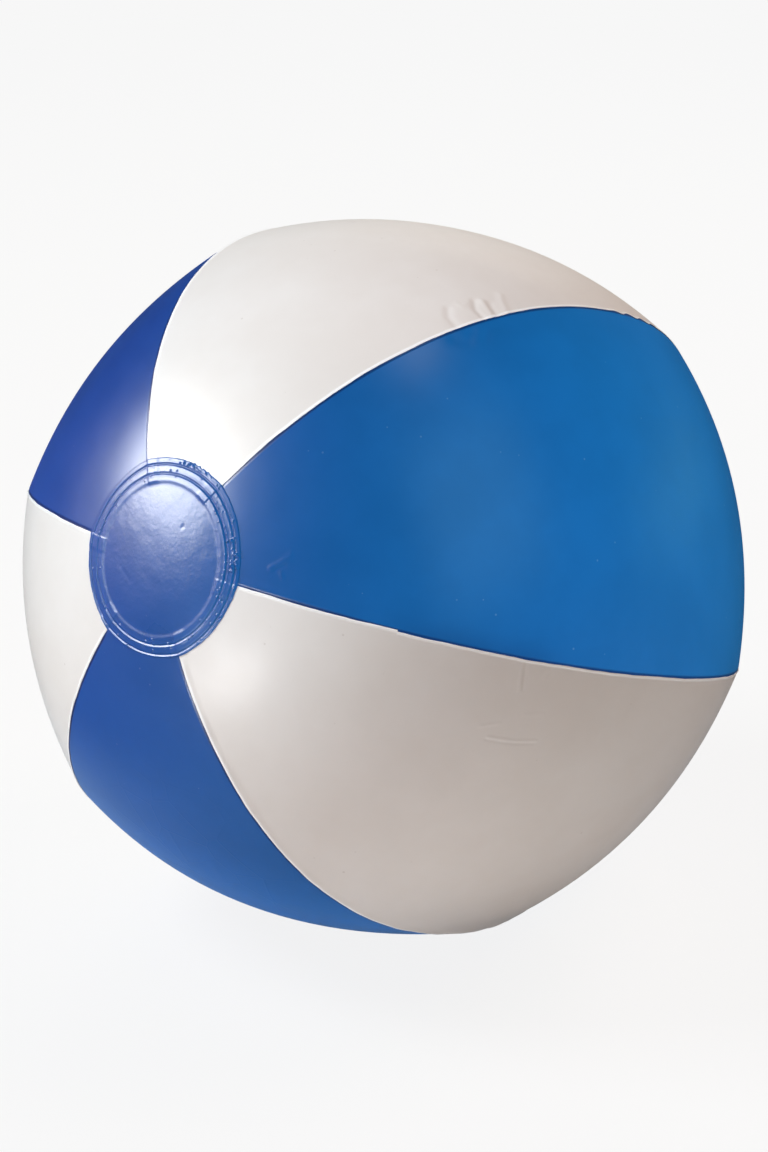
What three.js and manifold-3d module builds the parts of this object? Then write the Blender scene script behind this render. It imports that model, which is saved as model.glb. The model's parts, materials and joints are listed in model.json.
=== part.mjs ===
// Inflatable beach ball: six welded film panels in two colours, two round end caps and a push-in air valve.
// Millimetres, +Z up. The ball rests on the middle of one blue panel, and its front cap looks along -Y and up.
import * as THREE from "three";
import { mergeVertices } from "three/addons/utils/BufferGeometryUtils.js";
import Module from "manifold-3d";

// Inflated shape
const seamRadius = 130; // from the polar axis to a seam, at the equator
const poleHeight = 122.5; // from the centre to the outside of an end cap
const meridianPower = 2.17; // power of the superellipse that each meridian follows, 2 being an ellipse
const panelFlatness = 0.25; // across a panel, 0 is a round arc and 1 a straight line between its seams
const axisTilt = 21.2; // degrees that the front cap looks up
const contactDepth = 1.5; // how far the film flattens where the ball rests

// Film and welds
const filmThickness = 0.2;
const weldGap = 0.3; // clearance between two welded layers
const seamLap = 5; // width of a blue panel's edge under its white neighbour
const joggleStart = 1.4; // where a blue edge begins to dip, before the seam
const joggleEnd = 0.5; // where it has gone under, before the seam

// End caps
const capRadius = 33.5;
const capLap = 7.8; // width of the cap's rim on the panels
const capStep = 0.7; // run of the step up from the cap's middle onto its rim
const ringInsets = [2.4, 5.4]; // from the cap's edge to each pressed weld ring
const ringWidth = 1.2;
const ringDepth = 0.15;

// Air valve, measured along its axis from the outside of the rear cap
const baseRadius = 13;
const baseBore = 8.2; // radius of the hole in the base
const baseThickness = 0.9;
const baseEdge = 0.4; // thickness of the base at its rim
const baseRingInset = 2.2; // from the rim to the pressed weld ring
const webWall = 0.5;
const webFootClearance = 0.9; // between the web's foot and the stem
const stemRadius = 4.6;
const stemBore = 2.9; // radius
const stemLength = 13.1;
const stemRise = 2.6; // height of the stem's rim when it is pushed in
const rimBead = 0.6; // how far the rim's bead stands out
const rimBeadHeight = 1.2;
const footRadius = 6;
const footThickness = 1;
const stopperHeadRadius = 5.8;
const stopperHeadThickness = 1.6;
const stopperDish = 0.5; // depth of the hollow in the head's top
const plugLength = 3.6;
const plugClearance = 0.35; // between the plug and the bore, at the bore's mouth
const plugTipRadius = 1.9;
const tabLength = 3.6;
const tabWidth = 5;
const tabThickness = 1;
const strapWidth = 4;
const strapThickness = 0.7;
const strapReach = 7.3; // from the valve's axis to the middle of the strap's bend
const flapRadius = 3.8;
const flapThickness = 0.5;
const flapTail = 5.2; // from the valve's axis to the flap's hinge line
const flapTailWidth = 3;

// Facets
const panelColumns = 8;
const panelRows = 16; // between the two caps' edges
const valveSides = 28;

const panelCount = 6;
const halfPanel = Math.PI / panelCount;
const tilt = THREE.MathUtils.degToRad(axisTilt);
const layerStep = filmThickness + weldGap;
const holeRadius = capRadius - capLap; // of the opening that the panels leave under a cap

const wasm = await Module();
wasm.setup();

const blueFilm = new THREE.MeshStandardMaterial({ color: "#24509f", roughness: 0.32, metalness: 0 });
const whiteFilm = new THREE.MeshStandardMaterial({ color: "#e9e6e2", roughness: 0.34, metalness: 0 });
const clearVinyl = new THREE.MeshStandardMaterial({ color: "#dfe4e8", roughness: 0.28, metalness: 0 });

// The inflated skin, in the ball's own frame: +Z through the front cap, +X through the middle of panel 0.

// How much nearer the axis the skin lies than a seam does, at an angle from the panel's middle.
function acrossPanel(angle) {
  return 1 - panelFlatness + (panelFlatness * Math.cos(halfPanel)) / Math.cos(angle);
}

function skin(panel, polar, angle) {
  const power = 2 / meridianPower;
  const radius = seamRadius * Math.sin(polar) ** power * acrossPanel(angle);
  const height = poleHeight * Math.sign(Math.cos(polar)) * Math.abs(Math.cos(polar)) ** power;
  const azimuth = 2 * halfPanel * panel + angle;
  return new THREE.Vector3(radius * Math.cos(azimuth), radius * Math.sin(azimuth), height);
}

function skinNormal(panel, polar, angle) {
  const step = 1e-4;
  const down = skin(panel, polar + step, angle).sub(skin(panel, polar - step, angle));
  const round = skin(panel, polar, angle + step).sub(skin(panel, polar, angle - step));
  return down.cross(round).normalize();
}

function skinOffset(panel, polar, angle, offset) {
  return skin(panel, polar, angle).addScaledVector(skinNormal(panel, polar, angle), offset);
}

// The polar angle at which the skin is this far from the axis, on the front half.
function polarAt(radius, angle) {
  return Math.asin((radius / (seamRadius * acrossPanel(angle))) ** (meridianPower / 2));
}

// The skin's lowest point lies on panel 0. The floor is contactDepth above it.
const floorSide = new THREE.Vector3(Math.cos(tilt), 0, -Math.sin(tilt));
const dualPower = meridianPower / (meridianPower - 1);
const lowestRadius = seamRadius * acrossPanel(0) * floorSide.x;
const lowestHeight = poleHeight * -floorSide.z;
const lowest = (lowestRadius ** dualPower + lowestHeight ** dualPower) ** (1 / dualPower);
const floorDistance = lowest - contactDepth;
const contactPolar = Math.PI - Math.atan((lowestRadius / lowestHeight) ** (dualPower / 2));
const contactAngle = Math.sqrt(contactDepth / (2 * seamRadius)); // half the flat's reach from its middle

// Presses a point of the film flat on the floor, or on the film that lies there.
function restOnFloor(point, above) {
  const below = point.dot(floorSide) - (floorDistance - above);
  return below > 0 ? point.addScaledVector(floorSide, -below) : point;
}

// Closes a film between its outer and inner grids of points. Rows run from pole to pole, columns by azimuth.
function filmGeometry(outer, inner, ringed) {
  const points = [];
  const triangles = [];
  const number = (grid) => grid.map((row) => row.map((point) => points.push(point) - 1));
  const quad = (a, b, c, d) => triangles.push(a, b, c, a, c, d);
  const top = number(outer);
  const under = number(inner);
  const last = top.length - 1;
  const columns = Math.max(...top.map((row) => row.length));
  const steps = ringed ? columns : columns - 1;
  for (let i = 0; i < last; i++) {
    for (let j = 0; j < steps; j++) {
      const k = (j + 1) % columns;
      if (top[i].length === 1) {
        triangles.push(top[i][0], top[i + 1][j], top[i + 1][k]);
        triangles.push(under[i][0], under[i + 1][k], under[i + 1][j]);
      } else {
        quad(top[i][j], top[i + 1][j], top[i + 1][k], top[i][k]);
        quad(under[i][j], under[i][k], under[i + 1][k], under[i + 1][j]);
      }
    }
    if (!ringed) {
      quad(top[i][0], under[i][0], under[i + 1][0], top[i + 1][0]);
      quad(top[i][steps], top[i + 1][steps], under[i + 1][steps], under[i][steps]);
    }
  }
  for (let j = 0; j < steps; j++) {
    const k = (j + 1) % columns;
    if (top[0].length > 1) quad(top[0][j], top[0][k], under[0][k], under[0][j]);
    quad(top[last][j], under[last][j], under[last][k], top[last][k]);
  }
  const geometry = new THREE.BufferGeometry().setFromPoints(points);
  geometry.setIndex(triangles);
  return geometry;
}

// Polar angles down a panel: the holes' edges, the caps' edges, the flat's rows, and even steps between.
function panelPolars(angle) {
  const hole = polarAt(holeRadius, angle);
  const edge = polarAt(capRadius, angle);
  const before = Math.round((panelRows * (contactPolar - edge)) / (Math.PI - 2 * edge));
  const after = panelRows - before;
  const polars = [hole];
  for (let i = 0; i <= before; i++) {
    polars.push(THREE.MathUtils.lerp(edge, contactPolar - contactAngle, i / before));
  }
  polars.push(contactPolar);
  for (let i = 0; i <= after; i++) {
    polars.push(THREE.MathUtils.lerp(contactPolar + contactAngle, Math.PI - edge, i / after));
  }
  return [...polars, Math.PI - hole];
}

// A panel's film. A place across it is {side, angle, run, drop}, with run a distance past that angle.
function panelGeometry(panel, places) {
  const place = ({ side, angle, run, drop }, row, inside) => {
    const radius = seamRadius * Math.sin(panelPolars(angle)[row]) ** (2 / meridianPower);
    const over = run > 0;
    const local = side * (over ? run / radius - halfPanel : angle + run / radius);
    const polar = panelPolars(local)[row];
    const point = skinOffset(over ? panel + side : panel, polar, local, -drop - inside);
    return restOnFloor(point, drop + inside);
  };
  const rows = panelPolars(0).map((_, row) => row);
  const grid = (inside) => rows.map((row) => places.map((p) => place(p, row, inside)));
  return filmGeometry(grid(0), grid(filmThickness), false);
}

// Even steps from seam to seam, and on the resting panel the two sides of its flat.
function mainPlaces(edgeRun, resting) {
  const shares = [];
  for (let i = 0; i <= panelColumns; i++) shares.push((2 * i) / panelColumns - 1);
  if (resting) shares.push(-contactAngle / halfPanel, contactAngle / halfPanel);
  shares.sort((a, b) => a - b);
  return shares.map((share) => {
    const reach = Math.abs(share);
    return { side: share < 0 ? -1 : 1, angle: reach * halfPanel, run: reach * edgeRun, drop: 0 };
  });
}

// A blue panel's edge dips before the seam and runs on under its neighbour.
function lapPlaces(side) {
  return [
    { side, angle: halfPanel, run: -joggleEnd, drop: layerStep },
    { side, angle: halfPanel, run: seamLap, drop: layerStep },
  ];
}

function whitePlaces() {
  return mainPlaces(0, false);
}

function bluePlaces(resting) {
  return [...lapPlaces(-1).reverse(), ...mainPlaces(-joggleStart, resting), ...lapPlaces(1)];
}

// An end cap at the front: a disc, or a ring round a hole. Its rim lies on the panels and has pressed rings.
function capGeometry(boreRadius) {
  const rim = layerStep;
  const profile = [
    [(boreRadius + holeRadius) / 2, 0],
    [holeRadius - weldGap - capStep, 0],
    [holeRadius - weldGap, rim],
  ];
  for (const inset of [...ringInsets].reverse()) {
    const middle = capRadius - inset;
    profile.push([middle - ringWidth / 2, rim], [middle, rim - ringDepth], [middle + ringWidth / 2, rim]);
  }
  profile.push([capRadius, rim]);
  if (boreRadius > 0) profile.unshift([boreRadius, 0]);
  const ring = ([radius, offset], inside) => {
    const points = [];
    for (let panel = 0; panel < panelCount; panel++) {
      for (let i = 0; i < panelColumns; i++) {
        const angle = ((2 * i) / panelColumns - 1) * halfPanel;
        points.push(skinOffset(panel, polarAt(radius, angle), angle, offset - inside));
      }
    }
    return points;
  };
  const grid = (inside) => {
    const rows = profile.map((place) => ring(place, inside));
    return boreRadius > 0 ? rows : [[new THREE.Vector3(0, 0, poleHeight - inside)], ...rows];
  };
  return filmGeometry(grid(0), grid(filmThickness), true);
}

// Valve pieces stand on +Z from the outside of the rear cap, the strap towards -X and the tab towards +X.

// Revolves a closed outline of [radius, height] pairs, given counter-clockwise.
function revolve(outline) {
  const profile = [...outline, outline[0]].map(([radius, height]) => new THREE.Vector2(radius, height));
  return new THREE.LatheGeometry(profile, valveSides).rotateX(Math.PI / 2);
}

function extrude(outline, depth, curveSegments) {
  return new THREE.ExtrudeGeometry(outline, { depth, bevelEnabled: false, curveSegments });
}

function solidOf(geometry) {
  const bare = new THREE.BufferGeometry().setAttribute("position", geometry.getAttribute("position"));
  const merged = mergeVertices(geometry.index ? bare.setIndex(geometry.index) : bare, 1e-4);
  const vertProperties = new Float32Array(merged.getAttribute("position").array);
  const corners = merged.index.array;
  const triVerts = [];
  for (let i = 0; i < corners.length; i += 3) {
    const [a, b, c] = corners.slice(i, i + 3);
    if (a !== b && b !== c && c !== a) triVerts.push(a, b, c);
  }
  const mesh = new wasm.Mesh({ numProp: 3, vertProperties, triVerts: new Uint32Array(triVerts) });
  return new wasm.Manifold(mesh);
}

function geometryOf(solid) {
  const mesh = solid.getMesh();
  const geometry = new THREE.BufferGeometry();
  geometry.setAttribute("position", new THREE.BufferAttribute(mesh.vertProperties, mesh.numProp));
  return geometry.setIndex(new THREE.BufferAttribute(mesh.triVerts, 1));
}

// How far the rear cap's skin lies below its middle, at a distance from the axis.
function domeDrop(radius) {
  return poleHeight - skin(0, polarAt(radius, 0), 0).z;
}

const baseTop = weldGap + baseThickness;
const webTop = baseBore - weldGap; // outer radius of the web at its top
const webFoot = stemRadius + webFootClearance; // inner radius of the web at its foot
const stemFoot = stemRise - stemLength;
const headUnder = stemRise + weldGap;
const headTop = headUnder + stopperHeadThickness;

// A thin flange welded on round the hole, following the cap's dome, with one pressed ring.
function valveBaseGeometry() {
  const ring = baseRadius - baseRingInset;
  const under = (radius) => weldGap - domeDrop(radius);
  const taper = (radius) => {
    const share = (radius - baseBore) / (baseRadius - baseBore);
    return under(radius) + THREE.MathUtils.lerp(baseThickness, baseEdge, share);
  };
  return revolve([
    [baseBore, under(baseBore)],
    [ring, under(ring)],
    [baseRadius, under(baseRadius)],
    [baseRadius, taper(baseRadius)],
    [ring + ringWidth / 2, taper(ring + ringWidth / 2)],
    [ring, taper(ring) - ringDepth],
    [ring - ringWidth / 2, taper(ring - ringWidth / 2)],
    [baseBore, taper(baseBore)],
  ]);
}

// The soft funnel that lets the stem be pushed in, folded down round it.
function valveWebGeometry() {
  const footTop = stemFoot + footThickness + weldGap;
  return revolve([
    [webFoot, footTop],
    [webFoot + webWall, footTop],
    [webTop, baseTop - webWall],
    [webTop, baseTop],
    [webTop - webWall, baseTop],
  ]);
}

// The stem: a tube with a bead round its rim and a flange at its foot.
function valveStemGeometry() {
  const bead = stemRise - rimBeadHeight;
  return revolve([
    [stemBore, stemFoot],
    [footRadius, stemFoot],
    [footRadius, stemFoot + footThickness],
    [stemRadius, stemFoot + footThickness],
    [stemRadius, bead],
    [stemRadius + rimBead, bead + rimBead / 2],
    [stemRadius + rimBead, stemRise - rimBead / 2],
    [stemRadius + rimBead / 2, stemRise],
    [stemBore, stemRise],
  ]);
}

// The stopper: a dished head, a tapered plug that fills the bore, and a tab to lift it by.
function stopperGeometry() {
  const bevel = stopperDish / 2;
  const head = revolve([
    [0, headUnder - plugLength],
    [plugTipRadius, headUnder - plugLength],
    [stemBore - plugClearance, headUnder],
    [stopperHeadRadius, headUnder],
    [stopperHeadRadius, headTop - bevel],
    [stopperHeadRadius - bevel, headTop],
    [stopperHeadRadius - stopperDish, headTop],
    [stopperHeadRadius - 3 * stopperDish, headTop - stopperDish],
    [0, headTop - stopperDish],
  ]);
  const half = tabWidth / 2;
  const tabMiddle = stopperHeadRadius + tabLength - half; // of the tab's round end
  const outline = new THREE.Shape();
  outline.moveTo(stopperHeadRadius / 2, -half);
  outline.lineTo(tabMiddle, -half);
  outline.absarc(tabMiddle, 0, half, -Math.PI / 2, Math.PI / 2, false);
  outline.lineTo(stopperHeadRadius / 2, half);
  const tab = extrude(outline, tabThickness, 6);
  tab.translate(0, 0, headUnder + weldGap / 2);
  return geometryOf(solidOf(head).add(solidOf(tab)));
}

// The strap: a flat band in a hairpin from the rim's bead out and back to the edge of the stopper's head.
function strapGeometry() {
  const upper = headUnder + stopperHeadThickness / 2;
  const lower = stemRise - rimBeadHeight / 2;
  const middle = (upper + lower) / 2;
  const bend = (upper - lower) / 2;
  const beadEnd = stemRadius + rimBead + weldGap;
  const headEnd = stopperHeadRadius + weldGap;
  const half = strapThickness / 2;
  const outline = new THREE.Shape();
  outline.moveTo(beadEnd, lower - half);
  outline.lineTo(strapReach, lower - half);
  outline.absarc(strapReach, middle, bend + half, -Math.PI / 2, Math.PI / 2, false);
  outline.lineTo(headEnd, upper + half);
  outline.lineTo(headEnd, upper - half);
  outline.lineTo(strapReach, upper - half);
  outline.absarc(strapReach, middle, bend - half, Math.PI / 2, -Math.PI / 2, true);
  outline.lineTo(beadEnd, lower + half);
  const band = extrude(outline, strapWidth, 8).translate(0, 0, -strapWidth / 2);
  return band.rotateX(Math.PI / 2).rotateZ(Math.PI);
}

// The check flap: a disc under the stem's foot that hangs from a tail at its edge.
function flapGeometry() {
  const start = Math.asin(flapTailWidth / 2 / flapRadius);
  const outline = new THREE.Shape();
  outline.absarc(0, 0, flapRadius, start, 2 * Math.PI - start, false);
  outline.lineTo(flapTail, -flapTailWidth / 2);
  outline.lineTo(flapTail, flapTailWidth / 2);
  return extrude(outline, flapThickness, 24).translate(0, 0, stemFoot - weldGap - flapThickness);
}

function add(group, name, geometry, material) {
  const mesh = new THREE.Mesh(geometry, material);
  mesh.name = name;
  group.add(mesh);
}

// Assembly
const ball = new THREE.Group();
for (let panel = 0; panel < panelCount; panel++) {
  const blue = panel % 2 === 0;
  const name = `${blue ? "blue" : "white"}_panel_${Math.floor(panel / 2) + 1}`;
  const places = blue ? bluePlaces(panel === 0) : whitePlaces();
  add(ball, name, panelGeometry(panel, places), blue ? blueFilm : whiteFilm);
}
add(ball, "front_cap", capGeometry(0), blueFilm);

const rearEnd = new THREE.Group();
rearEnd.rotation.x = Math.PI;
add(rearEnd, "rear_cap", capGeometry(baseBore), blueFilm);

const valve = new THREE.Group();
valve.position.z = poleHeight;
add(valve, "valve_base", valveBaseGeometry(), clearVinyl);
add(valve, "valve_web", valveWebGeometry(), clearVinyl);
add(valve, "valve_stem", valveStemGeometry(), clearVinyl);
add(valve, "valve_stopper", stopperGeometry(), clearVinyl);
add(valve, "stopper_strap", strapGeometry(), clearVinyl);
add(valve, "check_flap", flapGeometry(), clearVinyl);
rearEnd.add(valve);
ball.add(rearEnd);

// The polar axis tips back in the YZ plane, and the resting panel faces down.
const front = new THREE.Vector3(0, -Math.cos(tilt), Math.sin(tilt));
const down = new THREE.Vector3(0, -Math.sin(tilt), -Math.cos(tilt));
ball.setRotationFromMatrix(new THREE.Matrix4().makeBasis(down, new THREE.Vector3(1, 0, 0), front));
ball.position.z = floorDistance;

const beachBall = new THREE.Group();
beachBall.add(ball);
export default beachBall;
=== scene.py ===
import json
import math
import bpy
import numpy as np
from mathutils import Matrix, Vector

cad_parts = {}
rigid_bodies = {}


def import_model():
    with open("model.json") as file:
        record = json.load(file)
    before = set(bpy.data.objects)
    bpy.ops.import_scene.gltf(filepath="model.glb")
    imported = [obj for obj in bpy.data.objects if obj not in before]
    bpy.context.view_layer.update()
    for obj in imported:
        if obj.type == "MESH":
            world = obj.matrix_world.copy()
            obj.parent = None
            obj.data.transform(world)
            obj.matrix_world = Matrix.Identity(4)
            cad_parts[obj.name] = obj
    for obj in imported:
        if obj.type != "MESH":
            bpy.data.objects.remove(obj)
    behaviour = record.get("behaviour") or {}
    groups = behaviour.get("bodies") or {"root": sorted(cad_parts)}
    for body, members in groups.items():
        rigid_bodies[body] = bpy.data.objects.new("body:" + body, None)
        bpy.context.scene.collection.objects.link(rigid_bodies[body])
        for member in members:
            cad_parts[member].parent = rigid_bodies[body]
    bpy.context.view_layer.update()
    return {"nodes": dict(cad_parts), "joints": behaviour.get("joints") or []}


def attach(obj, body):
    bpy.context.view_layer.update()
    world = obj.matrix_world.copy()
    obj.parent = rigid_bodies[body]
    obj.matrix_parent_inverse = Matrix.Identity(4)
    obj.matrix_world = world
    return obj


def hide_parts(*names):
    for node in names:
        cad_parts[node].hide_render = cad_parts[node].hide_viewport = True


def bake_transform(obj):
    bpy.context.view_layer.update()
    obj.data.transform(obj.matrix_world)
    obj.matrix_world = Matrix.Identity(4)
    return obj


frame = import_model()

print("frame:", len(frame["nodes"]), "CAD nodes")

mm = 0.001
fullTurn = 2 * math.pi
rng = np.random.default_rng(11)

# superellipse meridians, flattened a little between the seams
ballForm = {
    "seamRadius": 130 * mm,
    "poleHeight": 122.5 * mm,
    "meridianPower": 2.17,
    "centreHeight": 125.68 * mm,
    "flatness": [0.28, 0.28, 0.23, 0.23, 0.30, 0.20],  # of each panel between its seams
    "seamSwell": [-1.2 * mm, -3.2 * mm, 0.9 * mm, 0, 1.4 * mm, 0.8 * mm],  # the seam after each panel
    "creaseFade": (0.15, 0.35),  # shares of the seam radius where the panels lose their crease
}

film = {"thick": 0.2 * mm, "gap": 0.06 * mm, "sharp": 50}

panelCount = 6
halfPanel = math.pi / panelCount
panelTurn = 2 * halfPanel
meridian = 2 / ballForm["meridianPower"]

# axes of the ball: front cap, middle of the resting panel, and the side
slide = next(joint for joint in frame["joints"] if joint["name"] == "stem_slide")
frontAxis = -np.array(slide["axis"])
sideAxis = np.array([1.0, 0.0, 0.0])
downAxis = np.cross(sideAxis, frontAxis)
ballCentre = np.array([0.0, 0.0, ballForm["centreHeight"]])
ballAxes = np.array([downAxis, sideAxis, frontAxis])


def toRow(points):  # from the ball's own axes to the frame's
    return ballCentre + points @ ballAxes


def smooth(value):
    value = np.clip(value, 0, 1)
    return value * value * (3 - 2 * value)


def eased(value, start, length):  # from 0 at the start to 1 a length on
    return smooth((value - start) / length)


def hill(distance, width):
    return np.exp(-((distance / width) ** 2))


def wrapped(angle):  # to within half a turn of zero
    return (angle + math.pi) % fullTurn - math.pi


def wobble(run, seed, pitch):  # slow uneven wave from -1 to 1
    waves = [(1.0, 0.5), (1.73, 0.3), (3.1, 0.2)]  # rate and share
    phase = seed * 7.3
    return sum(share * np.sin(fullTurn * rate * run / pitch + phase * rate) for rate, share in waves)


def lineAway(points, a, b):  # distance from the line between a and b
    way = b - a
    share = np.clip(((points - a) @ way) / (way @ way), 0, 1)
    return np.linalg.norm(points - a - share[..., None] * way, axis=-1)


# the ball's outer skin: polar from the front cap, angle from the panel's middle
def skin(panel, polar, angle):
    spread = np.sin(polar) ** meridian
    fadeFrom, fadeTo = ballForm["creaseFade"]
    flat = ballForm["flatness"][panel] * eased(spread, fadeFrom, fadeTo - fadeFrom)
    across = 1 - flat + flat * math.cos(halfPanel) / np.cos(angle)
    side = smooth(angle / panelTurn + 0.5)
    before, after = ballForm["seamSwell"][panel - 1], ballForm["seamSwell"][panel]
    swell = (before * (1 - side) + after * side) * np.sin(polar) ** 2
    radius = spread * across * (ballForm["seamRadius"] + swell)
    rise = np.cos(polar)
    height = ballForm["poleHeight"] * np.sign(rise) * np.abs(rise) ** meridian
    turn = panel * panelTurn + angle
    return np.stack([radius * np.cos(turn), radius * np.sin(turn), height], axis=-1)


def lifted(panel, polar, angle, lift):  # off the skin, along its normal
    step = 1e-4
    along = skin(panel, polar + step, angle) - skin(panel, polar - step, angle)
    across = skin(panel, polar, angle + step) - skin(panel, polar, angle - step)
    normal = np.cross(along, across)
    normal /= np.linalg.norm(normal, axis=-1, keepdims=True)
    return skin(panel, polar, angle) + normal * lift[..., None]


def polarAt(radius):
    return np.arcsin(np.clip(radius / ballForm["seamRadius"], 0, 1) ** (1 / meridian))


def gridFaces(index, ring):
    nextColumn = np.roll(index, -1, axis=1) if ring else index[:, 1:]
    here = index if ring else index[:, :-1]
    return np.stack([here[:-1], here[1:], nextColumn[1:], nextColumn[:-1]], axis=-1).reshape(-1, 4)


def newObject(name, data):
    thing = bpy.data.objects.new(name, data)
    bpy.context.scene.collection.objects.link(thing)
    return thing


def newPiece(name, points, faces, material, sharp):
    mesh = bpy.data.meshes.new(name)
    mesh.from_pydata(np.asarray(points).tolist(), [], faces)
    mesh.shade_smooth()
    mesh.set_sharp_from_angle(angle=math.radians(sharp))
    mesh.materials.append(material)
    return newObject(name, mesh)


# a number on each point of the outer layer, which the materials read by name
def pointMask(piece, name, values):
    shown = np.zeros(len(piece.data.vertices), np.float32)
    shown[: values.size] = values.ravel()
    piece.data.attributes.new(name, "FLOAT", "POINT").data.foreach_set("value", shown)


# outer and inner layers of one film, closed round the cut edges; rows run front to rear
def closedFilm(name, outer, inner, material):
    rows, columns = outer.shape[:2]
    over = np.arange(rows * columns).reshape(rows, columns)
    under = over + rows * columns
    faces = [gridFaces(over, False), gridFaces(under, False)[:, ::-1]]
    for line, flip in ((0, False), (-1, True)):
        for a, b, turned in ((over[line], under[line], flip), (over[:, line], under[:, line], not flip)):
            wall = np.stack([a[:-1], a[1:], b[1:], b[:-1]], axis=-1)
            faces.append(wall[:, ::-1] if turned else wall)
    points = np.concatenate([outer.reshape(-1, 3), inner.reshape(-1, 3)])
    return newPiece(name, points, np.concatenate(faces).tolist(), material, film["sharp"])


# shader helpers: a new node with its settings, and values or links on its sockets
def place(tree, kind, values=None, **settings):
    node = tree.nodes.new(kind)
    for key, value in settings.items():
        setattr(node, key, value)
    for socket, value in (values or {}).items():
        if isinstance(value, bpy.types.NodeSocket):
            tree.links.new(value, node.inputs[socket])
        else:
            node.inputs[socket].default_value = value
    return node


def ramp(tree, value, low, high, toLow=0.0, toHigh=1.0, soft=True):
    kind = "SMOOTHSTEP" if soft else "LINEAR"
    values = {"Value": value, "From Min": low, "From Max": high, "To Min": toLow, "To Max": toHigh}
    return place(tree, "ShaderNodeMapRange", values, interpolation_type=kind).outputs["Result"]


def maths(tree, operation, *values):
    return place(tree, "ShaderNodeMath", dict(enumerate(values)), operation=operation).outputs[0]


def vectorMaths(tree, operation, *values):  # those that give one number
    node = place(tree, "ShaderNodeVectorMath", dict(enumerate(values)), operation=operation)
    return node.outputs["Value"]


def mixColours(tree, share, first, second, blend="MIX"):
    values = {0: share, 6: first, 7: second}  # 6, 7 and output 2 are the Mix node's colours
    return place(tree, "ShaderNodeMix", values, data_type="RGBA", blend_type=blend).outputs[2]


def mask(tree, name):
    return place(tree, "ShaderNodeAttribute", attribute_name=name).outputs["Fac"]


def newGroup(name, inputs, outputs):
    tree = bpy.data.node_groups.new(name, "ShaderNodeTree")
    for label, value in inputs.items():
        socket = tree.interface.new_socket(label, in_out="INPUT", socket_type="NodeSocketFloat")
        socket.default_value = value
    for label in outputs:
        tree.interface.new_socket(label, in_out="OUTPUT", socket_type="NodeSocketFloat")
    return tree, tree.nodes.new("NodeGroupInput"), tree.nodes.new("NodeGroupOutput")


# dust specks, soft mottling and a fine ripple, shared by every vinyl on the ball
wearLook = {
    "inputs": {"Dust Spacing": 220.0, "Dust Share": 0.2, "Mottle Scale": 30.0, "Ripple Scale": 320.0},
    "speckSize": (0.07, 0.04),  # spread and least, in cells
    "speckEdge": (0.5, 1.0),
    "mottle": {"Detail": 4.0, "Roughness": 0.6},
    "mottleRange": (0.3, 0.7),
    "ripple": {"Detail": 2.0},
}


def vinylWearGroup():
    tree, given, made = newGroup("vinylWear", wearLook["inputs"], ["Dust", "Mottle", "Ripple"])
    where = place(tree, "ShaderNodeTexCoord").outputs["Object"]

    def noise(kind):
        values = {"Vector": where, "Scale": given.outputs[kind.title() + " Scale"], **wearLook[kind]}
        return place(tree, "ShaderNodeTexNoise", values).outputs[0]

    values = {"Vector": where, "Scale": given.outputs["Dust Spacing"]}
    cells = place(tree, "ShaderNodeTexVoronoi", values)
    chosen = place(tree, "ShaderNodeSeparateColor", {0: cells.outputs["Color"]})
    present = maths(tree, "LESS_THAN", chosen.outputs[0], given.outputs["Dust Share"])
    size = maths(tree, "MULTIPLY_ADD", chosen.outputs[1], *wearLook["speckSize"])
    away = maths(tree, "DIVIDE", cells.outputs["Distance"], size)
    dot = maths(tree, "SUBTRACT", 1.0, ramp(tree, away, *wearLook["speckEdge"]))
    tree.links.new(maths(tree, "MULTIPLY", dot, present), made.inputs["Dust"])
    tree.links.new(ramp(tree, noise("mottle"), *wearLook["mottleRange"]), made.inputs["Mottle"])
    tree.links.new(noise("ripple"), made.inputs["Ripple"])
    return tree


# hairline creases left from folding: straight edges of long cells, in patches
foldLook = {
    "inputs": {"Scale": 14.0, "Width": 0.02, "Share": 0.55},
    "cells": {"Rotation": (0.5, 0.35, 0.7), "Scale": (1.0, 0.3, 1.0)},
    "patches": {"Scale": 9.0, "Detail": 1.0},
    "patchEdge": 0.12,
}


def foldLinesGroup():
    tree, given, made = newGroup("foldLines", foldLook["inputs"], ["Lines"])
    where = place(tree, "ShaderNodeTexCoord").outputs["Object"]
    long = place(tree, "ShaderNodeMapping", {"Vector": where, **foldLook["cells"]}).outputs[0]
    values = {"Vector": long, "Scale": given.outputs["Scale"]}
    edge = place(tree, "ShaderNodeTexVoronoi", values, feature="DISTANCE_TO_EDGE").outputs["Distance"]
    away = maths(tree, "DIVIDE", edge, given.outputs["Width"])
    line = maths(tree, "SUBTRACT", 1.0, ramp(tree, away, 0.0, 1.0))
    patch = place(tree, "ShaderNodeTexNoise", {"Vector": where, **foldLook["patches"]}).outputs[0]
    inPatch = maths(tree, "SUBTRACT", patch, given.outputs["Share"])
    shown = ramp(tree, inPatch, 0.0, foldLook["patchEdge"])
    tree.links.new(maths(tree, "MULTIPLY", line, shown), made.inputs["Lines"])
    return tree


vinylWear = vinylWearGroup()
foldLines = foldLinesGroup()


def newMaterial(name):
    material = bpy.data.materials.new(name)
    material.use_nodes = True
    tree = material.node_tree
    return material, tree, tree.nodes["Principled BSDF"]


def groupWith(tree, group, values):
    return place(tree, "ShaderNodeGroup", values, node_tree=group)


def dusted(tree, colour, wear, dust, share):
    return mixColours(tree, maths(tree, "MULTIPLY", wear.outputs["Dust"], share), colour, dust)


def colourAndGloss(tree, shader, colour, wear, roughness):
    rough = ramp(tree, wear.outputs["Mottle"], 0, 1, *roughness, False)
    tree.links.new(colour, shader.inputs["Base Color"])
    tree.links.new(rough, shader.inputs["Roughness"])


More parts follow.
